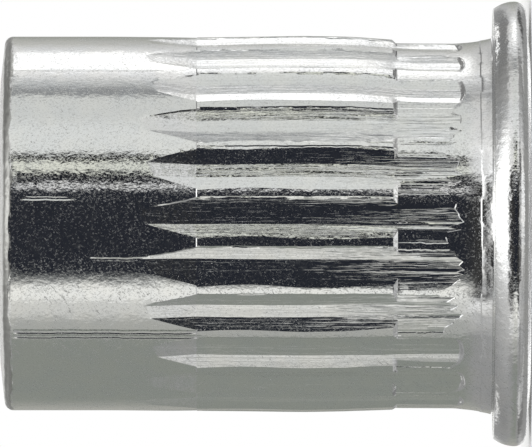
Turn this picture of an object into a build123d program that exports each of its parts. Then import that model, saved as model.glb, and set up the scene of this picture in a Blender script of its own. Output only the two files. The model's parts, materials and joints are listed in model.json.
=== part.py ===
from build123d import *
import math
import os

# A blind rivet nut with a small flange and a knurled body, cold formed as one piece
# and open at both ends. All sizes are in millimetres.
#
# The nut stands on its flange. Z runs along its axis, with zero on the flange's outer
# face and the plain end of the shank at the top. The bolt enters through the flange.

# The nut as a whole
nut_length = 15.57
shank_radius = 5.50

# Flange: a short step beyond the shank, with a coned outer face and a leaning rim
flange_thickness = 1.08
flange_overhang = 1.05
flange_face_width = 0.50        # flat ring that stands on the sheet, beyond the entry bore
flange_face_slope = 5.7         # degrees, the fall of the outer face towards the rim
rim_corner_radius = 0.34        # from the outer face into the rim, as far as the rim has room for it
rim_straight_least = 0.002      # what the corner leaves of the straight rim before the bow
rim_bow_height = 0.46           # where the rim is widest, from the outer face
rim_bow_radius = 0.95           # from there the rim bows in towards the seat
rim_seat_chamfer = 0.05

# Neck: relieved below the ribs, then flared out in one long sweep to meet the flange
neck_relief = 0.10
flare_height = 1.18             # from the seat to where the flare begins
flare_radius = 3.90
flare_steps = 3                 # straight stretches that the sweep is made of
root_chamfer = 0.06             # where the neck meets the seat
neck_height = 2.90              # from the seat to the ledge where the ribs start

# Ribs: barrelled lands that stand proud of the shank between the grooves
rib_length = 5.80
rib_ledge_ramp = 0.13
rib_ledge_drop = 0.04           # the ribs start just below the shank's radius
rib_crest_rise = 0.055
rib_shoulder_rise = 0.010
rib_shoulder_ramp = 0.06
rib_width = 0.19

# Grooves between the ribs: trough section, rounded at the neck, spear point at the shank.
# The punch leans, so the floor tilts and lies off centre, and one flank is the steeper.
groove_count = 24
groove_turn = 1.3               # degrees, from +X to the middle of the first groove
groove_depth = 0.16             # below the shank, at the ledge and all along the neck
groove_middle_rise = 0.0675     # the floor bulges with the ribs
groove_shoulder_rise = 0.025
groove_lean = 3.25              # degrees, down towards higher angles
groove_floor_low = 0.126        # from the middle to the floor's two edges
groove_floor_high = 0.224
groove_flank_angle = 12.25      # degrees, before the lean
groove_cheek_width = 0.06       # the steep lip of the flank at higher angles
groove_neck_stop = 0.82         # from the seat to the rounded end of the groove
groove_nose_length = 1.20
groove_spear_length = 1.40
cutter_stand_out = 0.50         # how far a groove's cutter reaches past the ribs

# Plain end
end_corner_radius = 0.25
end_crown = 0.13

# Inside: a wide entry where the wall will fold, then the threaded barrel
thread_diameter = 8.00
thread_pitch = 1.25
thread_length = 7.00            # with the countersink at the plain end
thread_mouth_growth = 0.20      # how far the countersink opens past the thread's crest
entry_wall = 0.95
entry_chamfer = 0.15
entry_cone_angle = 45.0         # degrees, from the entry bore down to the thread

# Worked out from the sizes above
seat_height = flange_thickness
flange_radius = shank_radius + flange_overhang
neck_radius = shank_radius - neck_relief
flare_turn = math.asin(flare_height / flare_radius)
root_radius = neck_radius + flare_radius * (1 - math.cos(flare_turn))
rim_bow_turn = math.asin((flange_thickness - rim_bow_height) / rim_bow_radius)
rim_seat_radius = flange_radius - rim_bow_radius * (1 - math.cos(rim_bow_turn))
ledge_height = seat_height + neck_height
shoulder_height = ledge_height + rib_length
groove_angle = 360 / groove_count
thread_minor_radius = (thread_diameter - 1.0825 * thread_pitch) / 2
thread_mouth_radius = thread_diameter / 2 + thread_mouth_growth
thread_mouth_depth = thread_mouth_radius - thread_minor_radius
thread_start_height = nut_length - thread_length
entry_radius = shank_radius - entry_wall
entry_cone_height = (entry_radius - thread_minor_radius) / math.tan(math.radians(entry_cone_angle))
face_radius = entry_radius + flange_face_width
face_drop = (flange_radius - face_radius) * math.tan(math.radians(flange_face_slope))
rim_corner_half_angle = math.radians(45 + flange_face_slope / 2)
rim_corner_room = (rim_bow_height - face_drop - rim_straight_least) * math.tan(rim_corner_half_angle)

os.makedirs("parts", exist_ok=True)


def corner_at(sketch, radius, height):
    """The corner of a section that lies at this radius and height."""
    return sketch.vertices().sort_by_distance((radius, height, 0))[0]


def rim_bow(turn):
    """A point of the rim's bow, at this turn up from where the rim is widest."""
    return (
        flange_radius - rim_bow_radius * (1 - math.cos(turn)),
        rim_bow_height + rim_bow_radius * math.sin(turn),
    )


def flare_curve(turn):
    """A point of the flare, at this turn down from where it begins."""
    return (
        neck_radius + flare_radius * (1 - math.cos(turn)),
        seat_height + flare_height - flare_radius * math.sin(turn),
    )


def trough_section(height, floor_rise=0.0):
    """One groove's section across the axis, open to the outside."""
    half_mouth = groove_angle / 2 - math.degrees(rib_width / 2 / shank_radius)
    mouth_x = shank_radius * math.cos(math.radians(half_mouth))
    mouth_y = shank_radius * math.sin(math.radians(half_mouth))
    floor_x = shank_radius - groove_depth + floor_rise
    floor_fall = math.tan(math.radians(groove_lean))
    low_x = floor_x + groove_floor_low * floor_fall
    high_x = floor_x - groove_floor_high * floor_fall
    low_rise = math.tan(math.radians(groove_flank_angle + groove_lean))
    high_rise = math.tan(math.radians(groove_flank_angle - groove_lean))
    cheek_y = mouth_y - groove_cheek_width
    outside_x = shank_radius + rib_crest_rise + cutter_stand_out
    with BuildSketch(Plane.XY.offset(height)) as trough:
        with BuildLine():
            Polyline(
                (outside_x, -mouth_y),
                (low_x + low_rise * (mouth_y - groove_floor_low), -mouth_y),
                (low_x, -groove_floor_low),
                (high_x, groove_floor_high),
                (high_x + high_rise * (cheek_y - groove_floor_high), cheek_y),
                (mouth_x, mouth_y),
                (outside_x, mouth_y),
                close=True,
            )
        make_face()
    return trough.sketch


# One groove as a solid: bulging under the ribs, level along the neck, and climbing out
# of the shank at the far end, where its flat floor leaves a blunt spear point.
neck_run = neck_height - groove_neck_stop
spear_climb = 2 * (groove_depth - groove_shoulder_rise)
spear_run = 2 * groove_spear_length
with BuildPart() as groove:
    loft([
        trough_section(ledge_height),
        trough_section((ledge_height + shoulder_height) / 2, groove_middle_rise),
        trough_section(shoulder_height, groove_shoulder_rise),
    ])
    extrude(trough_section(ledge_height), amount=-neck_run)
    extrude(
        trough_section(shoulder_height, groove_shoulder_rise),
        amount=math.hypot(spear_run, spear_climb),
        dir=(spear_climb, 0, spear_run),
    )
    # The punch's round nose forms the end by the neck
    nose_height = seat_height + groove_neck_stop + groove_nose_length
    nose_half_width = shank_radius * math.sin(math.radians(groove_angle / 2))
    with BuildSketch(Plane.YZ):
        with Locations((0, nose_height)):
            Ellipse(nose_half_width, groove_nose_length)
            Rectangle(2 * nose_half_width, nut_length, align=(Align.CENTER, Align.MIN))
    extrude(amount=2 * shank_radius, mode=Mode.INTERSECT)

with BuildPart() as rivet_nut:
    # The outside, turned about the axis
    with BuildSketch(Plane.XZ) as outside:
        with BuildLine():
            Polyline(
                (0, nut_length),
                (0, 0),
                (face_radius, 0),
                (flange_radius, face_drop),
                (flange_radius, rim_bow_height),
            )
            ThreePointArc(rim_bow(0), rim_bow(rim_bow_turn / 2), rim_bow(rim_bow_turn))
            Polyline(
                rim_bow(rim_bow_turn),
                *[flare_curve(flare_turn * i / flare_steps) for i in range(flare_steps, -1, -1)],
                (neck_radius, ledge_height - rib_ledge_ramp / 2),
                (shank_radius - rib_ledge_drop, ledge_height + rib_ledge_ramp / 2),
            )
            ThreePointArc(
                (shank_radius - rib_ledge_drop, ledge_height + rib_ledge_ramp / 2),
                (shank_radius + rib_crest_rise, (ledge_height + shoulder_height) / 2),
                (shank_radius + rib_shoulder_rise, shoulder_height),
            )
            Polyline(
                (shank_radius + rib_shoulder_rise, shoulder_height),
                (shank_radius, shoulder_height + rib_shoulder_ramp),
                (shank_radius, nut_length - end_crown),
                (thread_mouth_radius, nut_length),
                (0, nut_length),
            )
        make_face()
        fillet(
            corner_at(outside, flange_radius, face_drop),
            radius=min(rim_corner_radius, rim_corner_room),
        )
        chamfer(corner_at(outside, rim_seat_radius, seat_height), length=rim_seat_chamfer)
        chamfer(corner_at(outside, root_radius, seat_height), length=root_chamfer)
        fillet(
            corner_at(outside, shank_radius, nut_length - end_crown),
            radius=end_corner_radius,
        )
    revolve(axis=Axis.Z)

    # The bore right through, with the thread's core at the plain end
    with BuildSketch(Plane.XZ) as inside:
        with BuildLine():
            Polyline(
                (0, 0),
                (entry_radius + entry_chamfer, 0),
                (entry_radius, entry_chamfer),
                (entry_radius, thread_start_height - entry_cone_height),
                (thread_minor_radius, thread_start_height),
                (thread_minor_radius, nut_length - thread_mouth_depth),
                (thread_mouth_radius, nut_length),
                (0, nut_length),
                close=True,
            )
        make_face()
    revolve(axis=Axis.Z, mode=Mode.SUBTRACT)

    # The knurl
    with PolarLocations(0, groove_count, start_angle=groove_turn):
        add(groove.part, mode=Mode.SUBTRACT)

rivet_nut.part.label = "rivet_nut"
export_step(rivet_nut.part, "parts/rivet_nut.step")
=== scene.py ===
import json
import math

import bmesh
import bpy
import numpy as np
from bpy.props import FloatProperty, FloatVectorProperty, IntProperty, PointerProperty
from bpy.types import Operator, Panel, PropertyGroup
from mathutils import Matrix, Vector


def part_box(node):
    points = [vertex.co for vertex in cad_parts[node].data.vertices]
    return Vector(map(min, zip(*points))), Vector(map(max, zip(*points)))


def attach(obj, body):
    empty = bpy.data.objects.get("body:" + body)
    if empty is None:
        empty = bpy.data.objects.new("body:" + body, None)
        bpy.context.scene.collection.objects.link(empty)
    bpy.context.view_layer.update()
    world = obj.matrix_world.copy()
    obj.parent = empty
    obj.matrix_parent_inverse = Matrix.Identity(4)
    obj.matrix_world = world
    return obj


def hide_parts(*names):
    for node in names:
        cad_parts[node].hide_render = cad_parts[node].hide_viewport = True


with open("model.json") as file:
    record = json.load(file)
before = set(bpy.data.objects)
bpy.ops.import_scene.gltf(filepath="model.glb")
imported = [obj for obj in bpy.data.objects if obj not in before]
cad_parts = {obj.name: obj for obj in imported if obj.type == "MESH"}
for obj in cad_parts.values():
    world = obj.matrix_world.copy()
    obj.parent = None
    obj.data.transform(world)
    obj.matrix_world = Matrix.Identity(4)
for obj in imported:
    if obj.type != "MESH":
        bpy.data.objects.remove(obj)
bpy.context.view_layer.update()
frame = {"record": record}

bl_info = {
    "name": "Blind rivet nut",
    "version": (1, 0, 0),
    "blender": (4, 5, 0),
    "location": "View3D > Sidebar > Rivet nut",
    "description": "A knurled blind rivet nut in zinc-plated steel, with its studio",
    "category": "Object",
}

MM = 0.001
NODE = "rivet_nut"
MOUNTS = {mount["name"]: mount for mount in frame["record"]["mounts"]}

# Lengths inside the mesh code are millimetres; the frame and the properties are metres.
NUT_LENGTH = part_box(NODE)[1].z
FLANGE_RADIUS = -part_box(NODE)[0].x
SHANK_RADIUS = MOUNTS["body"]["dims"]["r_mm"] * MM
ENTRY_RADIUS = MOUNTS["entry_bore"]["dims"]["r_mm"] * MM
THREAD_CORE_RADIUS = MOUNTS["thread"]["dims"]["r_mm"] * MM
SEAT_HEIGHT = MOUNTS["seat"]["pos_m"][2]

# Sizes of the form that the frame doesn't hold and a user would hardly change, in millimetres
FACE_WIDTH = 0.50               # flat ring of the flange's face, beyond the entry bore
FACE_SLOPE = math.radians(5.7)  # the fall of the face beyond that ring
RIM_CORNER_RADIUS = 0.34
RIM_BOW_HEIGHT = 0.46           # where the rim is widest, from the face
RIM_BOW_RADIUS = 0.95
NECK_RELIEF = 0.115             # the neck's radius under the shank's
FLARE_HEIGHT = 1.12             # from the seat to where the flare begins
FLARE_RADIUS = 4.1
PARTING_HEIGHT = 0.375          # the die's parting line, from the seat
PARTING_STEP = 0.010
PARTING_HALF = 0.015            # half the height in which the parting line steps back
LEDGE_RAMP = 0.12
END_CORNER_RADIUS = 0.25
END_CROWN = 0.13
MOUTH_RADIUS = 4.20             # of the countersink, at the plain end's face
THREAD_ROOT_RADIUS = 4.02
THREAD_PITCH = 1.25
THREAD_LENGTH = 7.0             # with the countersink

# The mesh has this many columns in each half of a groove, from its middle to that of a rib
SIDE_COLUMNS = 9
SIDE_CORNERS = SIDE_COLUMNS + 1

# The random drift of the form starts from this seed
SEED = 24

# Ribs that aren't where an even knurl would put them: turns in degrees
RIB_UNEVENNESS = 0.15
PUSHED_RIB = 19
PUSHED_RIB_TURN = 1.2

# Grooves are torn from where they face the front by this much, fully so a little further on
TORN_FROM = 0.72
TORN_RUN = 0.14

# Edges sharper than this stay sharp in the shading
SHARP_ANGLE = math.radians(11)

# Camera: what its frame is centred on, across and along the nut, and its own settings
VIEW_MIDDLE = (0.011 * MM, 7.765 * MM)
SENSOR_WIDTH = 10               # millimetres
CLIP_RANGE = (0.1, 10)          # metres


def length(name, default, description):
    """A length that a user may change."""
    return FloatProperty(name=name, description=description, default=default, unit="LENGTH", precision=5)


def angle(name, degrees, description):
    """An angle that a user may change."""
    default = math.radians(degrees)
    return FloatProperty(name=name, description=description, default=default, subtype="ANGLE")


def colour(name, default, description):
    """A colour that a user may change, given as an sRGB hex value."""
    return FloatVectorProperty(
        name=name, description=description, default=srgb(default), subtype="COLOR",
        size=3, min=0.0, max=1.0,
    )


def srgb(hex_value):
    """Linear red, green and blue of an sRGB hex value such as 'C0C0C0'."""
    channels = [int(hex_value[i:i + 2], 16) / 255 for i in (0, 2, 4)]
    return tuple(c / 12.92 if c <= 0.04045 else ((c + 0.055) / 1.055) ** 2.4 for c in channels)


# ---------------------------------------------------------------------------
# What a user would change
# ---------------------------------------------------------------------------


class KnurlSizes(PropertyGroup):
    """Ribs and grooves on the body."""
    groove_count: IntProperty(name="Grooves", description="Grooves round the body", default=24, min=6)
    groove_turn: angle("Turn", 1.3, "From +X to the middle of the first groove")
    groove_depth: length("Groove depth", 0.05 * MM, "Below the neck")
    floor_width: length("Floor width", 0.40 * MM, "Flat bottom of a groove")
    rib_width: length("Rib width", 0.13 * MM, "Foot of a rib between two grooves")
    rib_crest_rise: length("Rib crest", 0.055 * MM, "Height of the barrelled ribs above the shank")
    rib_start: length("Rib start", 2.90 * MM, "From the seat to the ledge where the ribs start")
    rib_length: length("Rib length", 5.80 * MM, "From ledge to shoulder")
    spear_length: length("Spear length", 1.40 * MM, "How far a groove takes to climb out of the shank")
    nose_stop: length("Nose stop", 0.82 * MM, "From the seat to a groove's round end")
    flank_angle: angle("Flank angle", 12.25, "From the floor to each flank")
    groove_lean: angle("Groove lean", 3.25, "How far the whole groove leans to one side")


class FinishSettings(PropertyGroup):
    """Bright zinc plate."""
    zinc: colour("Zinc", "EDEDEB", "Reflection colour of clean bright zinc")
    blue_zinc: colour("Blue zinc", "EAEBEB", "Where the clear passivation is thicker")
    dull_zinc: colour("Dull zinc", "B6B6B2", "Where the plate is pitted or the steel under it is coarse")
    roughness: FloatProperty(name="Roughness", description="Of the plate on drawn steel", default=0.04, min=0)
    scatter: FloatProperty(
        name="Scatter", description="Roughness added where it is pitted or rubbed", default=0.50, min=0
    )
    grain: length("Grain", 0.09 * MM, "Size of the plated surface's fine ripple")
    ripple_height: length("Ripple height", 0.0030 * MM, "Height of the fine ripple")
    streak_width: length("Streak width", 0.09 * MM, "Width of the punch's drag lines")
    streak_height: length("Streak height", 0.0070 * MM, "Depth of the punch's drag lines")


class StudioSettings(PropertyGroup):
    """Floor, light and camera."""
    camera_distance: length("Camera distance", 0.6, "From the nut's axis to the camera")
    view_width: length("View width", 15.665 * MM, "What the frame's width takes in at the nut")
    floor_size: length("Floor size", 0.045, "Side of the floor")
    floor_gap: length("Floor gap", 0.01 * MM, "How far the floor lies under the flange's face")
    floor: colour("Floor", "FBFBFA", "Pale floor")


# ---------------------------------------------------------------------------
# The nut's outline
# ---------------------------------------------------------------------------


def arc_corner(before, corner, after, radius, steps):
    """Points of a round of this radius, laid into the corner between two straight runs."""
    before, corner, after = (np.array(p, float) for p in (before, corner, after))
    to_before = (before - corner) / np.linalg.norm(before - corner)
    to_after = (after - corner) / np.linalg.norm(after - corner)
    half_angle = math.acos(float(np.clip(to_before @ to_after, -1, 1))) / 2
    bisector = (to_before + to_after) / np.linalg.norm(to_before + to_after)
    centre = corner + bisector * radius / math.sin(half_angle)
    start = corner + to_before * radius / math.tan(half_angle) - centre
    end = corner + to_after * radius / math.tan(half_angle) - centre
    swing = math.atan2(start[0] * end[1] - start[1] * end[0], float(start @ end))
    points = []
    for i in range(steps + 1):
        turn = swing * i / steps
        c, s = math.cos(turn), math.sin(turn)
        points.append((centre[0] + c * start[0] - s * start[1], centre[1] + s * start[0] + c * start[1]))
    return points


def outline(corners):
    """Points of an open outline. A corner is (radius, height, round, steps of the round)."""
    points = [corners[0][:2]]
    for before, corner, after in zip(corners, corners[1:], corners[2:]):
        if corner[2] > 0:
            points += arc_corner(before[:2], corner[:2], after[:2], corner[2], corner[3])
        else:
            points.append(corner[:2])
    points.append(corners[-1][:2])
    return points


def spread(start, end, step):
    """Evenly spaced values from start up to, and without, end."""
    count = max(1, round(abs(end - start) / step))
    return list(np.linspace(start, end, count + 1)[:-1])


def wander(rng, shape, position, wavelengths, heights):
    """Smooth random drift along position, one independent line for each entry of shape."""
    total = np.zeros(tuple(shape) + (len(position),))
    for wavelength, height in zip(wavelengths, heights):
        phase = rng.uniform(0, 2 * math.pi, tuple(shape) + (1,))
        stretch = rng.uniform(0.8, 1.25, tuple(shape) + (1,))
        total += height * np.sin(2 * math.pi * position * stretch / wavelength + phase)
    return total


# ---------------------------------------------------------------------------
# The nut's mesh
# ---------------------------------------------------------------------------


class NutForm:
    """All the sizes that the mesh needs, in millimetres."""

    def __init__(self, knurl):
        self.length = NUT_LENGTH / MM
        self.shank = SHANK_RADIUS / MM
        self.flange = FLANGE_RADIUS / MM
        self.seat = SEAT_HEIGHT / MM
        self.entry = ENTRY_RADIUS / MM
        self.core = THREAD_CORE_RADIUS / MM
        self.neck = self.shank - NECK_RELIEF
        self.count = knurl.groove_count
        self.turn = math.degrees(knurl.groove_turn)
        self.floor_low = 0.33 * knurl.floor_width / MM
        self.floor_high = 0.67 * knurl.floor_width / MM
        self.floor_tilt = math.tan(knurl.groove_lean)
        self.slope_low = math.tan(knurl.flank_angle + knurl.groove_lean)
        self.slope_high = math.tan(knurl.flank_angle - knurl.groove_lean)
        self.neck_depth = knurl.groove_depth / MM
        self.rib_width = knurl.rib_width / MM
        self.crest = knurl.rib_crest_rise / MM
        self.ledge = self.seat + knurl.rib_start / MM
        self.shoulder = self.ledge + knurl.rib_length / MM
        self.spear = knurl.spear_length / MM
        self.nose_stop = self.seat + knurl.nose_stop / MM
        self.parting = self.seat + PARTING_HEIGHT

    def land_radius(self, height):
        """Radius of the body between the grooves, at each height above the seat."""
        barrel = np.interp(
            (height - self.ledge) / (self.shoulder - self.ledge),
            [0.0, 0.15, 0.25, 0.35, 0.45, 0.55, 0.65, 0.75, 0.85, 1.0, 1.005],
            [-0.75, 0.10, 0.60, 0.80, 0.96, 0.84, 0.62, 0.45, 0.36, 0.28, 0.0],
        )
        rib = self.shank + self.crest * barrel
        rise = np.clip((height - self.ledge) / LEDGE_RAMP + 0.5, 0, 1)
        radius = self.neck + (rib - self.neck) * rise

        # One long curve from the neck to the seat, with the die's parting step across it
        run = np.clip(self.seat + FLARE_HEIGHT - height, 0, FLARE_HEIGHT)
        radius = radius + FLARE_RADIUS - np.sqrt(FLARE_RADIUS ** 2 - run ** 2)
        line = [self.parting - 0.40, self.parting - PARTING_HALF, self.parting + PARTING_HALF]
        return radius + PARTING_STEP * np.interp(height, line, [0, 1, 0])

    def groove_floor(self, height):
        """Radius of a groove's floor along the neck, between the barrelled ribs and at the shoulder."""
        along = np.clip((height - self.ledge) / (self.shoulder - self.ledge), 0, 1)
        level = self.neck - self.neck_depth + 0.025 * along
        return level + self.crest * (1 - (2 * along - 1) ** 2)

    def off_centre(self, height, reach=0.07):
        """How far the body lies off the flange's centre, towards -X: the dies weren't quite in line.
        The shift happens within this reach of the ledge."""
        heights = [
            self.seat, self.ledge - reach, self.ledge + reach, self.ledge + 1.2,
            self.shoulder, self.shoulder + 2.5,
        ]
        return np.interp(height, heights, [0.072, 0.058, 0.028, 0.006, 0.012, -0.012])

    def body_heights(self):
        """Heights of the rings on the outside of the body, close together where the form changes."""
        heights = spread(self.seat + 0.07, self.parting - PARTING_HALF, 0.07)
        heights += [self.parting - PARTING_HALF, self.parting, self.parting + PARTING_HALF]
        heights += spread(self.parting + 0.04, self.nose_stop - 0.08, 0.075)
        nose_steps = (-0.08, -0.035, 0.0, 0.018, 0.036, 0.065, 0.10, 0.14)
        heights += [self.nose_stop + step for step in nose_steps]
        heights += spread(self.nose_stop + 0.19, self.nose_stop + 0.80, 0.06)
        heights += spread(self.nose_stop + 0.80, self.ledge - 0.065, 0.10)
        heights += spread(self.ledge - 0.065, self.ledge + 0.105, 0.034)
        heights += spread(self.ledge + 0.105, self.shoulder, 0.085)
        heights += spread(self.shoulder, self.shoulder + 0.06, 0.03)
        heights += spread(self.shoulder + 0.06, self.shoulder + 1.75, 0.05)
        heights += spread(self.shoulder + 1.75, self.length - 0.45, 0.5)
        return np.array(heights)


def smooth(value):
    """Eases a share from 0 to 1."""
    value = np.clip(value, 0, 1)
    return value * value * (3 - 2 * value)


def flank_top(form, foot, floor_half, slope, level):
    """Where a groove's flank, rising from its foot, would come out of the land: degrees off its middle."""
    base = foot - slope * floor_half
    inner = (slope * base) ** 2 - (1 + slope ** 2) * (base ** 2 - level ** 2)
    sideways = (np.sqrt(np.maximum(inner, 0)) - slope * base) / (1 + slope ** 2)
    return np.degrees(np.arcsin(np.clip(sideways / form.shank, 0, 0.2)))


def bent_heights(form, rng, z, torn):
    """Heights of every ring's corners. Each groove's nose is a round, torn on the nut's front into lanes
    that stop one after another, and the rings bend to follow it."""
    shape = (form.count, 2)
    reach = np.array([0, 0.17, 0.33, 0.5, 0.67, 0.84, 1.0, 1.0, 0.6, 0.3])
    stop = rng.uniform(0.0, 0.10, (form.count, 1, 1)) + 0 * reach
    bullet = rng.uniform(0.30, 0.60, shape + (1,)) * (1 - np.sqrt(1 - 0.96 * reach ** 2))
    lanes = rng.uniform(0, 1, shape + (SIDE_CORNERS,)) ** 2 * 0.50 * torn[:, None, None] * (reach > 0.1)
    lanes[..., 7] = lanes[..., 6]
    shift = stop + bullet + lanes
    follow = smooth((z - form.parting - 0.05) / (form.nose_stop - form.parting - 0.08))
    follow = follow * smooth((form.ledge - 0.2 - z) / (form.ledge - 0.2 - form.nose_stop - 0.2))
    return z[..., None] + shift[:, :, None, :] * follow[..., None]


def knurled_rings(form, rng):
    """Heights, angles and radii of the body's rings, how drawn each corner is and how far it is sunk
    in a groove."""
    heights = form.body_heights()
    rows = len(heights)
    pitch = 360 / form.count
    z = heights[None, None, :]

    # Each groove and each of its two sides differs a little. Side 0 is the one towards lower angles.
    shape = (form.count, 2)
    level = form.land_radius(z)
    floor_drift = wander(rng, (form.count, 1), heights, [9.0, 3.1], [0.005, 0.002])
    edge_drift = wander(rng, shape, heights, [4.0, 1.3, 0.55, 0.27], [0.14, 0.10, 0.08, 0.05])
    sway = wander(rng, (form.count, 1), heights, [14.0, 5.0], [0.012, 0.006])
    spear = form.spear * (1 + rng.uniform(-0.12, 0.16, (form.count, 1, 1)))
    centres = math.radians(form.turn) + np.arange(form.count) * math.radians(pitch)
    # Grooves that face the front, -Y, are torn where the punch stopped, and the others are clean
    torn = smooth((-np.sin(centres) - TORN_FROM) / TORN_RUN)

    # The punch leans, so the floor tilts and the two flanks are unlike
    sign = np.array([-1.0, 1.0])[None, :, None]
    floor_half = np.array([form.floor_low, form.floor_high])[None, :, None] + sign * sway
    flank_slope = np.array([form.slope_low, form.slope_high])[None, :, None]
    flank_bend = np.array([0.0, 0.20])[None, :, None]
    rise = np.clip((z - form.shoulder) / spear, 0, 2)
    floor = form.groove_floor(z) + floor_drift * (1 - np.clip(rise, 0, 1)) + 0.14 * rise
    clean = 1 - torn[:, None, None]
    floor = floor - 0.04 * clean * smooth((form.ledge + 1.0 - z) / 2.0)

    def trough(t):
        """Radius of the groove's floor and flank at sideways distance t."""
        section = floor - sign * form.floor_tilt * np.minimum(t, floor_half)
        past_floor = np.maximum(t - floor_half, 0)
        section = section + flank_slope * past_floor + flank_bend * past_floor ** 2
        return np.hypot(section, t)

    # The ribs aren't quite evenly spaced, and one was pushed well to the side
    rib_shift = rng.uniform(-RIB_UNEVENNESS, RIB_UNEVENNESS, form.count)
    rib_shift[PUSHED_RIB % form.count] += PUSHED_RIB_TURN
    half = pitch / 2 + np.stack([-np.roll(rib_shift, 1), rib_shift], axis=1)[..., None]

    # Half the mouth's width: even along the ribs, then down to the blunt spear tip
    lip = np.array([0.22, 0.40])[None, :, None]
    mouth = half - math.degrees(form.rib_width / 2 / form.shank) - lip + edge_drift
    in_neck = smooth((form.ledge + 0.10 - z) / 0.16)
    mouth = mouth - 0.20 * in_neck
    floor_edge = np.degrees(floor_half / form.shank) + 0 * z
    tip = floor_edge + 0.30 + 0.25 * edge_drift
    mouth = np.where(rise > 0, tip + (mouth - tip) * np.clip(1 - rise, 0, 1), mouth)
    mouth = np.maximum(mouth, floor_edge + 0.9 * (1 - np.clip(rise, 0, 1)) + 0.30)

    foot = floor - sign * form.floor_tilt * floor_half
    flank_end = flank_top(form, foot, floor_half, flank_slope, level)
    flank_end = np.clip(flank_end, floor_edge + 0.12, np.maximum(mouth - 0.6, floor_edge + 0.14))

    # Columns of the mesh stand on these edges, and spread evenly where the groove has gone
    even = np.arange(SIDE_CORNERS) * pitch / (2 * SIDE_COLUMNS)
    past_lip = np.minimum(mouth + lip, half - 0.35)
    angles = np.stack(np.broadcast_arrays(
        0 * z, floor_edge * 0.5, floor_edge, (floor_edge + flank_end) / 2, flank_end,
        (flank_end + mouth) / 2, mouth, past_lip, (past_lip + half) / 2, half,
    ), axis=-1)
    relax = smooth((z - (form.shoulder + spear + 0.05)) / 0.30)
    relax = relax + smooth((form.nose_stop - 0.10 - z) / 0.25)
    angles = angles * (1 - relax[..., None]) + even * relax[..., None]

    bent = bent_heights(form, rng, z, torn)
    land = form.land_radius(bent + rng.uniform(-0.03, 0.03, shape + (1, 1)) * in_neck[..., None])

    # The corners up to the mouth are sunk, each in a lane of its own along the groove
    sunk_corners = 7
    lane_height = rng.normal(0, 1, shape + (sunk_corners,)) * 0.0011
    drag = rng.uniform(0.006, 0.016, shape + (1,)) * in_neck
    near_nose = np.clip(1 - (z - form.nose_stop) / 3.4, 0, 1)
    wall = 0.036 + 0.11 * clean
    past_wall = smooth((z - form.nose_stop) / wall)
    fading = np.clip(1.25 - (z - form.nose_stop) / 4.0, 0, 1)
    radii = np.zeros_like(angles)
    streak = np.zeros_like(angles)
    for i in range(sunk_corners):
        t = form.shank * np.sin(np.radians(angles[..., i]))
        lane = lane_height[:, :, i, None] * (1 + 8 * torn[:, None, None] * near_nose) * (z < form.shoulder)
        cut = np.minimum(land[..., i] - drag, trough(t)) + lane
        radii[..., i] = land[..., i] - np.maximum(land[..., i] - cut, 0) * past_wall
        streak[..., i] = np.clip((land[..., i] - radii[..., i]) / 0.02, 0, 1)
        streak[..., i] *= 0.22 + 0.78 * torn[:, None, None] * fading
    radii[..., sunk_corners:] = land[..., sunk_corners:]
    cheek_drop = np.array([0.0, 0.022])[None, :, None]
    radii[..., 7] -= cheek_drop * (1 - in_neck) * (z < form.shoulder)

    sunk = np.clip((land - radii) / 0.06, 0, 1)

    def unroll(values):
        """The sides of all grooves, side by side, as one row of corners for each ring."""
        low = values[:, 0, :, SIDE_COLUMNS:0:-1]
        high = values[:, 1, :, :SIDE_COLUMNS]
        return np.concatenate([low, high], axis=-1).transpose(1, 0, 2).reshape(rows, -1)

    signed = angles * np.array([-1.0, 1.0])[None, :, None, None]
    signed = signed + np.degrees(centres)[:, None, None, None]
    return unroll(bent), unroll(signed), unroll(radii), unroll(streak), unroll(sunk)


def ring_points(angles, radii, heights):
    """Corner positions of a ring from its angles in degrees."""
    turn = np.radians(angles)
    radii = np.broadcast_to(radii, turn.shape)
    heights = np.broadcast_to(heights, turn.shape)
    return np.stack([radii * np.cos(turn), radii * np.sin(turn), heights], axis=-1)


class MeshMaker:
    """Collects rings of corners and the faces between them."""

    def __init__(self):
        self.corners = []
        self.drawn = []
        self.coarse = []
        self.faces = []
        self.total = 0

    def add_ring(self, points, drawn=0.0, coarse=0.0):
        """Adds the corners of a ring, with its masks, and gives their numbers."""
        start = self.total
        self.corners.append(points)
        self.drawn.append(np.broadcast_to(drawn, (len(points),)))
        self.coarse.append(np.broadcast_to(coarse, (len(points),)))
        self.total += len(points)
        return list(range(start, self.total))

    def bridge(self, first, second):
        """Four-sided faces between two rings with as many corners."""
        count = len(first)
        for i in range(count):
            j = (i + 1) % count
            self.faces.append((first[i], first[j], second[j], second[i]))

    def bridge_down(self, many, few):
        """Faces between a fine ring and one with four times fewer corners, on flat metal."""
        count = len(few)
        for i in range(count):
            a, b = few[i], few[(i + 1) % count]
            m = [many[(4 * i + k) % len(many)] for k in range(5)]
            self.faces += [
                (m[0], m[1], a), (m[1], m[2], a), (m[2], b, a), (m[2], m[3], b), (m[3], m[4], b),
            ]

    def finish(self, name):
        """The mesh, with its two masks."""
        mesh = bpy.data.meshes.new(name)
        mesh.from_pydata((np.concatenate(self.corners) * MM).tolist(), [], self.faces)
        for mask in ("drawn", "coarse"):
            values = np.concatenate(getattr(self, mask)).astype(np.float32)
            mesh.attributes.new(mask, "FLOAT", "POINT").data.foreach_set("value", values)
        return mesh


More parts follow.
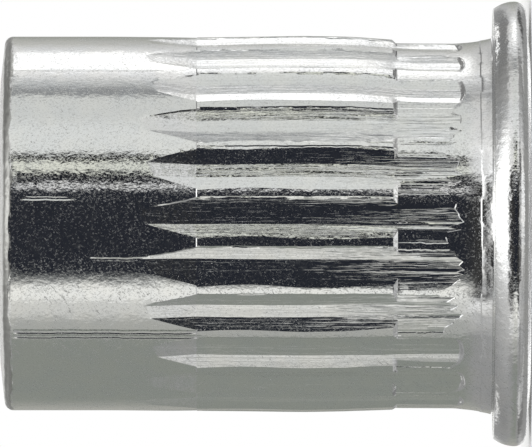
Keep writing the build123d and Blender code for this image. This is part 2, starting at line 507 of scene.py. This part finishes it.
def outside_rings(maker, form, rng):
    """Flange, flare, knurled body and end face, from the entry's edge to the countersink's."""
    face_radius = form.entry + FACE_WIDTH
    face_drop = (form.flange - face_radius) * math.tan(FACE_SLOPE)
    columns = form.count * 2 * SIDE_COLUMNS
    even = form.turn + (np.arange(columns) - SIDE_COLUMNS) * 360 / columns
    bow = np.linspace(0.02, 0.60, 7)
    root = float(form.land_radius(np.array(form.seat)))
    flange = outline([
        (form.entry + 0.15, 0.0, 0, 0),
        (form.entry + 0.32, 0.0, 0, 0),
        (face_radius, 0.0, 0.9, 3),
        (face_radius + 0.75, 0.75 * math.tan(FACE_SLOPE), 0, 0),
        (form.flange, face_drop, RIM_CORNER_RADIUS, 9),
        *[(
            form.flange - RIM_BOW_RADIUS * (1 - math.cos(t)),
            RIM_BOW_HEIGHT + RIM_BOW_RADIUS * math.sin(t), 0, 0,
        ) for t in bow],
        (form.flange - 0.22, form.seat, 0.05, 3),
        (form.shank + 0.40, form.seat, 0, 0),
        (root, form.seat, 0.04, 3),
        (root - 0.012, form.seat + 0.07, 0, 0),
    ])[:-1]
    rings = [
        maker.add_ring(ring_points(even, radius, height), 0.0, 0.5 * (radius > form.shank + 0.3))
        for radius, height in flange
    ]
    for height, angles, radii, streak, sunk in zip(*knurled_rings(form, rng)):
        points = ring_points(angles, radii, height)
        points[:, 0] -= form.off_centre(height) * (1 - sunk) + form.off_centre(height, 0.6) * sunk
        rings.append(maker.add_ring(points, streak))
    end = outline([
        (form.shank, form.length - 0.52, 0, 0),
        (form.shank, form.length - END_CROWN, END_CORNER_RADIUS, 9),
        (form.shank - 0.60, form.length - END_CROWN * 0.7 / 1.3, 0, 0),
        (MOUTH_RADIUS + 0.05, form.length - 0.003, 0, 0),
        (MOUTH_RADIUS, form.length - 0.012, 0, 0),
    ])

    # The plain end's face waves a little, and so does the edge of its dull, sheared rim
    waves = wander(rng, (), even, [180.0, 75.0, 31.0, 12.0], [0.010, 0.008, 0.006, 0.005])
    edge = wander(rng, (), even, [140.0, 60.0, 24.0, 9.0], [0.02, 0.02, 0.02, 0.02])
    for radius, height in end:
        out = np.clip((radius - MOUTH_RADIUS) / (form.shank - MOUTH_RADIUS), 0, 1)
        dull = np.clip((height - form.length + 0.36 + edge) / 0.05, 0, 1)
        points = ring_points(even, radius, height - (waves + 0.01) * out)
        points[:, 0] -= form.off_centre(form.length) * out
        rings.append(maker.add_ring(points, 0.0, dull))
    for first, second in zip(rings, rings[1:]):
        maker.bridge(first, second)
    return rings[0], rings[-1], even


def thread_rows(ring, angles, core, start, end):
    """Rows of the thread's helix between two heights, and how many of them make up one turn. Both ends
    of the helix are nearly as deep as the rest, and stop at a wall."""
    # The profile, as shares of the pitch and of the thread's depth
    steps = [0.0, 0.10, 0.25, 0.31, 0.4375, 0.5625, 0.69, 0.75, 0.90]
    depths = [0.0, 0.0, 0.0, 0.15, 1.0, 1.0, 0.15, 0.0, 0.0]
    lead = (angles - angles[0]) / 360
    turns = int((end - start) / THREAD_PITCH) - 1
    spare = (end - start - (turns + 1) * THREAD_PITCH) / 2
    rows = []
    for n in range(turns + 1):
        for step, depth in zip(steps, depths):
            along = n + step
            if along > turns:
                break
            position = along + lead
            fade = np.clip(position / 0.5, 0, 1) * np.clip((turns + 1 - position) / 0.5, 0, 1)
            height = start + spare + position * THREAD_PITCH
            rows.append(ring(core + (THREAD_ROOT_RADIUS - core) * depth * fade, height))
    return rows, len(steps)


def thread_faces(maker, rows, per_turn, low, high):
    """Faces of the helix, joined to itself one turn on, and to the bore's ring at each end."""
    last = len(rows) - 1
    columns = range(len(low) - 1)
    for first, second in zip(rows, rows[1:]):
        maker.faces += [(first[i], second[i], second[i + 1], first[i + 1]) for i in columns]
    for r in range(last - per_turn):
        a, b = rows[r], rows[r + 1]
        c, d = rows[r + per_turn], rows[r + 1 + per_turn]
        maker.faces.append((a[-1], b[-1], d[0], c[0]))
    for i in columns:
        maker.faces.append((low[i], rows[0][i], rows[0][i + 1], low[i + 1]))
        maker.faces.append((rows[last][i], high[i], high[i + 1], rows[last][i + 1]))
    first_wall = [rows[r][0] for r in range(per_turn, -1, -1)]
    last_wall = [rows[r][-1] for r in range(last - per_turn, last + 1)]
    maker.faces.append((low[-1], rows[0][-1], *first_wall, low[0]))
    maker.faces.append((*last_wall, high[-1], high[0], rows[last][0]))


def inside_rings(maker, form, even, first_outer, last_outer):
    """Countersink, thread, cone and entry bore, in a quarter as many columns."""
    angles = even[::4]
    core = form.core
    mouth_depth = MOUTH_RADIUS - core
    thread_start = form.length - THREAD_LENGTH
    thread_end = form.length - mouth_depth - 0.06

    def ring(radius, height):
        return maker.add_ring(ring_points(angles, radius, height))

    top = ring(MOUTH_RADIUS - 0.10, form.length - 0.112)
    maker.bridge_down(last_outer, top)
    above = ring(core, form.length - mouth_depth)
    maker.bridge(top, above)

    rows, per_turn = thread_rows(ring, angles, core, thread_start, thread_end)
    low = ring(core, thread_start + 0.02)
    high = ring(core, thread_end)
    thread_faces(maker, rows, per_turn, low, high)
    maker.bridge(above, high)

    previous = ring(core, thread_start)
    maker.bridge(low, previous)
    cone_bottom = thread_start - (form.entry - core)
    entry = [
        (form.entry, cone_bottom),
        (form.entry, cone_bottom * 0.5),
        (form.entry, 0.15),
        (form.entry + 0.10, 0.05),
    ]
    for current in [ring(radius, height) for radius, height in entry]:
        maker.bridge(previous, current)
        previous = current
    maker.bridge_down(first_outer, previous)


def make_nut_mesh(form):
    """The whole nut as one closed mesh."""
    rng = np.random.default_rng(SEED)
    maker = MeshMaker()
    first, last, even = outside_rings(maker, form, rng)
    inside_rings(maker, form, even, first, last)
    return maker.finish("rivet_nut_body")


def turn_faces_out(mesh):
    """Makes every face look out of the metal."""
    work = bmesh.new()
    work.from_mesh(mesh)
    bmesh.ops.recalc_face_normals(work, faces=work.faces)
    work.to_mesh(mesh)
    work.free()


# ---------------------------------------------------------------------------
# Materials
# ---------------------------------------------------------------------------


def add_node(tree, kind, settings=None, links=None):
    """Adds a node, sets its properties and input values, and links its inputs."""
    node = tree.nodes.new(kind)
    for name, value in (settings or {}).items():
        if isinstance(name, int) or name in node.inputs:
            node.inputs[name].default_value = value
        else:
            setattr(node, name, value)
    for name, socket in (links or {}).items():
        tree.links.new(socket, node.inputs[name])
    return node


def calculate(tree, operation, *values):
    """Result of a math node whose inputs are sockets or numbers."""
    numbers = {i: value for i, value in enumerate(values) if isinstance(value, (int, float))}
    sockets = {i: value for i, value in enumerate(values) if i not in numbers}
    return add_node(tree, "ShaderNodeMath", {"operation": operation, **numbers}, sockets).outputs[0]


def blend(tree, factor, first, second):
    """Mixes two colours, each a socket or an RGB tuple, by a share from 0 to 1."""
    colours = {6: first, 7: second}
    plain = {i: (*value, 1.0) for i, value in colours.items() if isinstance(value, tuple)}
    sockets = {i: value for i, value in colours.items() if i not in plain}
    settings = {"data_type": "RGBA", "clamp_factor": True, **plain}
    return add_node(tree, "ShaderNodeMix", settings, {"Factor": factor, **sockets}).outputs[2]


def share(tree, value, low, high):
    """0 below low, 1 above high and a smooth rise between. Low may be the higher number."""
    node = add_node(
        tree, "ShaderNodeMapRange", {"interpolation_type": "SMOOTHSTEP", 1: low, 2: high, 3: 0.0, 4: 1.0},
        {0: value},
    )
    return node.outputs[0]


def stretch(tree, place, turn, ratio):
    """Coordinates in which a texture is drawn out along the axis, or turned from it by an angle."""
    turned = add_node(tree, "ShaderNodeMapping", {"Rotation": (turn, turn * 0.7, 0.0)}, {"Vector": place})
    drawn = add_node(
        tree, "ShaderNodeMapping", {"Scale": (1.0, 1.0, 1 / ratio)}, {"Vector": turned.outputs[0]}
    )
    return drawn.outputs[0]


def noise(tree, place, size, detail, roughness):
    """Noise with features of this size in metres."""
    node = add_node(
        tree, "ShaderNodeTexNoise", {"Scale": 1 / size, "Detail": detail, "Roughness": roughness},
        {"Vector": place},
    )
    return node.outputs["Fac"]


def turn_from_front(tree, axes):
    """Turn about the nut's axis in radians, from -Y towards -X, of a place or a direction."""
    minus_x = calculate(tree, "MULTIPLY", axes.outputs["X"], -1.0)
    minus_y = calculate(tree, "MULTIPLY", axes.outputs["Y"], -1.0)
    return calculate(tree, "ARCTAN2", minus_x, minus_y)


# Long marks on the plain end of the body, drawn by the die: (turn from -Y towards -X in degrees,
# from this height, to this height, width, depth), lengths in millimetres
DIE_MARKS = [
    (-54.4, 10.9, 15.3, 0.10, 0.010),
    (-7.8, 13.4, 14.9, 0.13, 0.018),
    (10.9, 11.3, 12.9, 0.13, 0.015),
    (35.0, 9.9, 15.1, 0.18, 0.036),
    (36.8, 9.8, 15.1, 0.16, 0.030),
]

# The noise that makes the marks sway adds half its height on average, which the shift makes up for.
# Both are in millimetres.
DIE_MARK_SWAY = 0.12
DIE_MARK_SHIFT = DIE_MARK_SWAY / 2


def die_mark(tree, around, height, mark):
    """Depth of a die mark in millimetres, and 0 beyond its width."""
    turn, low, high, width, depth = mark
    middle = math.radians(turn) * SHANK_RADIUS + DIE_MARK_SHIFT * MM
    away = calculate(tree, "ABSOLUTE", calculate(tree, "SUBTRACT", around, middle))
    inside = share(tree, away, 0.5 * width * MM, 0.15 * width * MM)
    from_low = share(tree, height, (low - 0.2) * MM, (low + 0.3) * MM)
    to_high = share(tree, height, (high + 0.1) * MM, (high - 0.2) * MM)
    deep = calculate(tree, "MULTIPLY", inside, depth)
    return calculate(tree, "MULTIPLY", deep, calculate(tree, "MULTIPLY", from_low, to_high))


def bright_zinc_steel(finish):
    """Bright zinc-plated cold-formed steel: mirror-like, but rippled like fine orange peel and full of
    pin marks. The plate follows the drawn steel, so the grooves show the punch's drag lines."""
    material = bpy.data.materials.new("bright zinc-plated cold-formed steel")
    material.use_nodes = True
    tree = material.node_tree
    tree.nodes.clear()
    place = add_node(tree, "ShaderNodeTexCoord").outputs["Object"]
    drawn = add_node(tree, "ShaderNodeAttribute", {"attribute_name": "drawn"}).outputs["Fac"]
    coarse = add_node(tree, "ShaderNodeAttribute", {"attribute_name": "coarse"}).outputs["Fac"]

    # Heights of the plate's surface, added up as bumps on bumps
    ripple = noise(tree, stretch(tree, place, 0.0, 1.3), finish.grain, 1.2, 0.5)
    grain = noise(tree, place, 2.6 * finish.grain, 2.0, 0.5)
    wave = noise(tree, place, 0.42 * MM, 1.0, 0.5)
    patches = noise(tree, place, 0.9 * MM, 3.0, 0.6)
    fleck = noise(tree, place, 0.045 * MM, 1.0, 0.5)
    lines = noise(tree, stretch(tree, place, 0.0, 40.0), finish.streak_width, 3.0, 0.65)
    hairs = noise(tree, stretch(tree, place, 0.55, 12.0), 0.045 * MM, 2.0, 0.6)
    fibres = noise(tree, stretch(tree, place, -0.75, 9.0), 0.05 * MM, 2.0, 0.6)
    flecks = calculate(tree, "MULTIPLY", share(tree, fleck, 0.73, 0.82), share(tree, patches, 0.42, 0.60))
    scored = calculate(tree, "MULTIPLY", share(tree, lines, 0.40, 0.60), drawn)
    sheared = calculate(tree, "MULTIPLY", grain, coarse)

    # The die's marks, laid out on the unrolled shank
    axes = add_node(tree, "ShaderNodeSeparateXYZ", links={0: place})
    sway = calculate(tree, "MULTIPLY", patches, DIE_MARK_SWAY * MM)
    around = calculate(tree, "MULTIPLY_ADD", turn_from_front(tree, axes), SHANK_RADIUS, sway)
    marks, *others = [die_mark(tree, around, axes.outputs["Z"], mark) for mark in DIE_MARKS]
    for mark in others:
        marks = calculate(tree, "MAXIMUM", marks, mark)

    relief = [
        (marks, -1.0 * MM),
        (ripple, finish.ripple_height),
        (wave, 0.0060 * MM),
        (sheared, 0.030 * MM),
        (scored, finish.streak_height),
        (share(tree, hairs, 0.66, 0.74), 0.0010 * MM),
        (flecks, -0.0030 * MM),
    ]
    normal = None
    for height, depth in relief:
        bump = add_node(
            tree, "ShaderNodeBump", {"Strength": 1.0, "Distance": abs(depth), "invert": depth < 0},
            {"Height": height, **({"Normal": normal} if normal else {})},
        )
        normal = bump.outputs[0]

    # Where the plate is pitted or rubbed it scatters, and the pits hold some of the light back
    pits = share(tree, noise(tree, stretch(tree, place, 0.35, 1.4), 0.055 * MM, 4.0, 0.7), 0.465, 0.79)
    rubbed = calculate(tree, "MULTIPLY", share(tree, fibres, 0.55, 0.72), share(tree, patches, 0.35, 0.60))
    smeared = calculate(tree, "SUBTRACT", 1.0, drawn)
    scatter = calculate(tree, "MULTIPLY", calculate(tree, "MAXIMUM", pits, rubbed), smeared)
    haze = calculate(tree, "MULTIPLY_ADD", scatter, finish.scatter, finish.roughness)
    blunt = share(tree, coarse, 0.55, 0.95)
    rough = calculate(tree, "MULTIPLY_ADD", blunt, 0.26, haze)

    tone = blend(tree, share(tree, patches, 0.38, 0.62), tuple(finish.zinc), tuple(finish.blue_zinc))
    dull_share = calculate(tree, "MULTIPLY_ADD", scatter, 0.70, blunt)
    dulled = blend(tree, dull_share, tone, tuple(finish.dull_zinc))
    shader = add_node(
        tree, "ShaderNodeBsdfPrincipled", {"Metallic": 1.0},
        {"Base Color": dulled, "Roughness": rough, "Normal": normal},
    )
    add_node(tree, "ShaderNodeOutputMaterial", links={"Surface": shader.outputs[0]})
    return material


def pale_floor(studio):
    """Matt white laminate: even, with no gloss."""
    material = bpy.data.materials.new("matt white laminate")
    material.use_nodes = True
    shader = material.node_tree.nodes["Principled BSDF"]
    shader.inputs["Base Color"].default_value = (*studio.floor, 1.0)
    shader.inputs["Roughness"].default_value = 0.9
    shader.inputs["Specular IOR Level"].default_value = 0.0
    return material


# ---------------------------------------------------------------------------
# Studio
# ---------------------------------------------------------------------------

# Sheets and lamps round the nut's axis, as the turn in degrees from the camera towards -X.
# Each is (from, to, sRGB hex, strength), and between two sheets the light shades over evenly.
PANELS = [
    (-180, -166, "A0A29C", 1.0),
    (-151, -148, "C0C0BC", 1.0),
    (-138, -135, "E2E2E2", 1.0),
    (-130, -112, "FFFFFF", 1.4),
    (-106, -103, "F0F0F0", 1.0),
    (-98, -97, "CACCCC", 1.0),
    (-91, -87, "949698", 1.0),
    (-85, -70, "DADCDA", 1.0),
    (-60, -43.9, "E8EAE8", 1.0),
    (-43.4, -39.4, "0C0E12", 1.0),
    (-38.9, -32.6, "E6E8DE", 1.0),
    (-31.8, -24.4, "1E2026", 1.0),
    (-23.8, -22.4, "F2F2F2", 1.0),
    (-21, 30, "24272F", 1.0),
    (33, 34, "6E7070", 1.0),
    (40, 47, "F8F8F4", 1.0),
    (50, 57, "D8D8D4", 1.0),
    (63, 72, "B0B1AD", 1.0),
    (76, 140, "8E928C", 1.0),
    (160, 180, "AAAAA4", 1.0),
]


# A colour ramp holds too few stops for all the sheets, so two ramps meet at this turn
RAMPS_MEET = -36

# What closes the room above and below those sheets, as (turn in degrees, grey level)
CLOSURES = {
    # Low sheets, on both sides of the nut
    "beside": [
        (-180, 1.5), (-168, 0.45), (-122, 0.73), (-108, 0.93), (-102, 0.65), (-92, 0.39), (-86, 0.68),
        (-62, 0.80), (-49, 0.95), (-45, 0.85), (-31, 0.85), (-27, 0.03), (37, 0.04), (45, 0.25), (51, 0.95),
        (55, 0.83), (59, 0.57), (68, 0.45), (75, 0.33), (165, 0.33), (180, 1.5),
    ],
    # A board over the nut's plain end
    "overhead": [
        (-180, 1.4), (-168, 0.34), (-140, 0.24), (-105, 0.22), (-88, 0.31), (-72, 0.40), (-60, 0.62),
        (-48, 1.3), (-38, 1.6), (-20, 1.7), (10, 1.65), (25, 1.25), (36, 0.80), (46, 0.62), (66, 0.48),
        (95, 0.36), (130, 0.28), (166, 0.34), (180, 1.4),
    ],
    # Two lamps in that board, behind the nut to the left and the right
    "lamp": [
        (-180, 0.34), (-152, 0.34), (-146, 1.3), (-126, 1.3), (-118, 0.26), (-95, 0.30), (-48, 1.3),
        (-20, 1.7), (10, 1.65), (36, 0.80), (66, 0.48), (95, 0.36), (119, 0.30), (127, 0.85), (145, 0.85),
        (150, 0.34), (180, 0.34),
    ],
    # Beyond the flange, the feet of the sheets and flags
    "feet": [
        (-180, 0.34), (-168, 0.34), (-158, 0.75), (-154, 0.12), (-137, 0.10), (-130, 0.60), (-112, 0.70),
        (-102, 0.25), (-80, 0.35), (-62, 0.55), (-46, 0.60), (-40, 0.16), (-24, 0.14), (-17, 0.48),
        (2, 0.50), (9, 0.15), (26, 0.13), (33, 0.48), (52, 0.58), (62, 0.32), (92, 0.30), (104, 0.65),
        (122, 0.65), (128, 0.18), (146, 0.18), (151, 0.50), (160, 0.50), (168, 0.34), (180, 0.34),
    ],
    # What the feet stand on
    "below": [
        (-180, 0.32), (-150, 0.32), (-144, 0.10), (-137, 0.10), (-130, 0.50), (-114, 0.60), (-106, 0.25),
        (-94, 0.32), (-77, 0.42), (-62, 0.60), (-48, 0.85), (-38, 1.05), (-10, 1.05), (10, 0.90),
        (35, 0.60), (46, 0.40), (60, 0.50), (80, 0.42), (98, 0.32), (106, 0.48), (122, 0.50), (128, 0.22),
        (142, 0.22), (149, 0.32), (180, 0.32),
    ],
}

# The boards in the order they are laid, each from one height to another. The height is the Z of a
# direction, over how far that direction faces the front: the plain end is up and the flange down.
BOARDS = [
    (0.06, 0.30, "beside"),
    (0.33, 0.57, "overhead"),
    (1.04, 1.15, "lamp"),
    (1.20, 1.40, "overhead"),
    (-0.12, -0.26, "beside"),
    (-0.33, -0.48, "feet"),
    (-0.62, -0.84, "below"),
    (-1.30, -1.70, "ground"),
]
GROUND = (0.33, 0.33, 0.325)
LEAST_FACING = 0.35


def fill_ramp(tree, place, stops):
    """A colour ramp over the turn, from (turn in degrees, linear colour) stops."""
    node = add_node(tree, "ShaderNodeValToRGB", links={"Fac": place})
    ramp = node.color_ramp
    while len(ramp.elements) > 1:
        ramp.elements.remove(ramp.elements[-1])
    for i, (edge, tone) in enumerate(stops):
        position = (edge + 180) / 360
        element = ramp.elements[0] if i == 0 else ramp.elements.new(position)
        element.position = position
        element.color = (*tone, 1.0)
    return node.outputs["Color"]


def studio_world(studio):
    """A white room as the camera and the floor see it. Metal reflects its lamps, sheets and flag."""
    world = bpy.data.worlds.new("studio")
    world.use_nodes = True
    tree = world.node_tree
    tree.nodes.clear()
    direction = add_node(tree, "ShaderNodeTexCoord").outputs["Generated"]
    axes = add_node(tree, "ShaderNodeSeparateXYZ", links={0: direction})
    turn = turn_from_front(tree, axes)
    around = calculate(tree, "MULTIPLY_ADD", turn, 1 / (2 * math.pi), 0.5)
    halves = []
    for low, high in ((-180, RAMPS_MEET), (RAMPS_MEET, 180)):
        stops = [
            (edge, [c * strength for c in srgb(tone)])
            for start, end, tone, strength in PANELS
            for edge in sorted({start, end})
            if low <= edge <= high
        ]
        halves.append(fill_ramp(tree, around, stops))
    pick = calculate(tree, "GREATER_THAN", around, (RAMPS_MEET + 180) / 360)
    room = blend(tree, pick, *halves)

    # The boards' edges come down at the sides, as the nut's round flank turns away
    facing = calculate(tree, "COSINE", calculate(tree, "MULTIPLY", turn, 0.5))
    height = calculate(tree, "DIVIDE", axes.outputs["Z"], calculate(tree, "MAXIMUM", facing, LEAST_FACING))
    tones = {
        name: fill_ramp(tree, around, [(edge, (grey, grey, grey)) for edge, grey in stops])
        for name, stops in CLOSURES.items()
    }
    tones["ground"] = GROUND
    for low, high, name in BOARDS:
        room = blend(tree, share(tree, height, low, high), room, tones[name])

    ray = add_node(tree, "ShaderNodeLightPath")
    glossy = add_node(tree, "ShaderNodeBackground", {"Strength": 1.0}, {"Color": room})
    plain = add_node(tree, "ShaderNodeBackground", {"Color": (1.0, 1.0, 1.0, 1.0), "Strength": 1.0})
    both = add_node(
        tree, "ShaderNodeMixShader",
        links={0: ray.outputs["Is Glossy Ray"], 1: plain.outputs[0], 2: glossy.outputs[0]},
    )
    add_node(tree, "ShaderNodeOutputWorld", links={"Surface": both.outputs[0]})
    return world


# ---------------------------------------------------------------------------
# Operators
# ---------------------------------------------------------------------------


class RIVETNUT_OT_nut(Operator):
    """Builds the nut, with its knurl and thread, over the CAD node"""
    bl_idname = "rivetnut.nut"
    bl_label = "Rivet nut"

    def execute(self, context):
        form = NutForm(context.scene.rivetnut_knurl)
        mesh = make_nut_mesh(form)
        turn_faces_out(mesh)
        mesh.polygons.foreach_set("use_smooth", [True] * len(mesh.polygons))
        mesh.set_sharp_from_angle(angle=SHARP_ANGLE)
        nut = bpy.data.objects.new("rivet_nut_body", mesh)
        context.scene.collection.objects.link(nut)
        mesh.materials.append(bright_zinc_steel(context.scene.rivetnut_finish))
        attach(nut, "root")
        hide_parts(NODE)
        return {"FINISHED"}


class RIVETNUT_OT_studio(Operator):
    """Sets up the floor, the light and the camera"""
    bl_idname = "rivetnut.studio"
    bl_label = "Studio"

    def execute(self, context):
        studio = context.scene.rivetnut_studio
        scene = context.scene
        half = studio.floor_size / 2
        mesh = bpy.data.meshes.new("floor")
        corners = ((-half, -half), (half, -half), (half, half), (-half, half))
        mesh.from_pydata([(x, y, -studio.floor_gap) for x, y in corners], [], [(0, 1, 2, 3)])
        mesh.materials.append(pale_floor(studio))
        floor = bpy.data.objects.new("floor", mesh)
        floor.visible_glossy = False
        scene.collection.objects.link(floor)
        scene.world = studio_world(studio)

        camera_data = bpy.data.cameras.new("camera")
        camera_data.sensor_width = SENSOR_WIDTH
        camera_data.lens = camera_data.sensor_width * studio.camera_distance / studio.view_width
        camera_data.clip_start, camera_data.clip_end = CLIP_RANGE
        camera = bpy.data.objects.new("camera", camera_data)
        # Looks along +Y with the nut's plain end to the left
        turned = Matrix(((0, 1, 0), (0, 0, -1), (-1, 0, 0)))
        place = (VIEW_MIDDLE[0], -studio.camera_distance, VIEW_MIDDLE[1])
        camera.matrix_world = Matrix.Translation(place) @ turned.to_4x4()
        scene.collection.objects.link(camera)
        scene.camera = camera
        scene.view_settings.view_transform = "Standard"
        return {"FINISHED"}


class RIVETNUT_PT_panel(Panel):
    """The nut's settings and operators"""
    bl_label = "Rivet nut"
    bl_idname = "RIVETNUT_PT_panel"
    bl_space_type = "VIEW_3D"
    bl_region_type = "UI"
    bl_category = "Rivet nut"

    def draw(self, context):
        for name in GROUPS:
            box = self.layout.box()
            for setting in GROUPS[name].__annotations__:
                box.prop(getattr(context.scene, name), setting)
        for operator in OPERATORS:
            self.layout.operator(operator.bl_idname)


OPERATORS = (RIVETNUT_OT_nut, RIVETNUT_OT_studio)
GROUPS = {
    "rivetnut_knurl": KnurlSizes,
    "rivetnut_finish": FinishSettings,
    "rivetnut_studio": StudioSettings,
}


def register():
    for group in GROUPS.values():
        bpy.utils.register_class(group)
    for name, group in GROUPS.items():
        setattr(bpy.types.Scene, name, PointerProperty(type=group))
    for operator in OPERATORS:
        bpy.utils.register_class(operator)
    bpy.utils.register_class(RIVETNUT_PT_panel)


def unregister():
    bpy.utils.unregister_class(RIVETNUT_PT_panel)
    for operator in reversed(OPERATORS):
        bpy.utils.unregister_class(operator)
    for name in GROUPS:
        delattr(bpy.types.Scene, name)
    for group in GROUPS.values():
        bpy.utils.unregister_class(group)


def main():
    register()
    bpy.ops.rivetnut.nut()
    bpy.ops.rivetnut.studio()


if __name__ == "__main__":
    main()
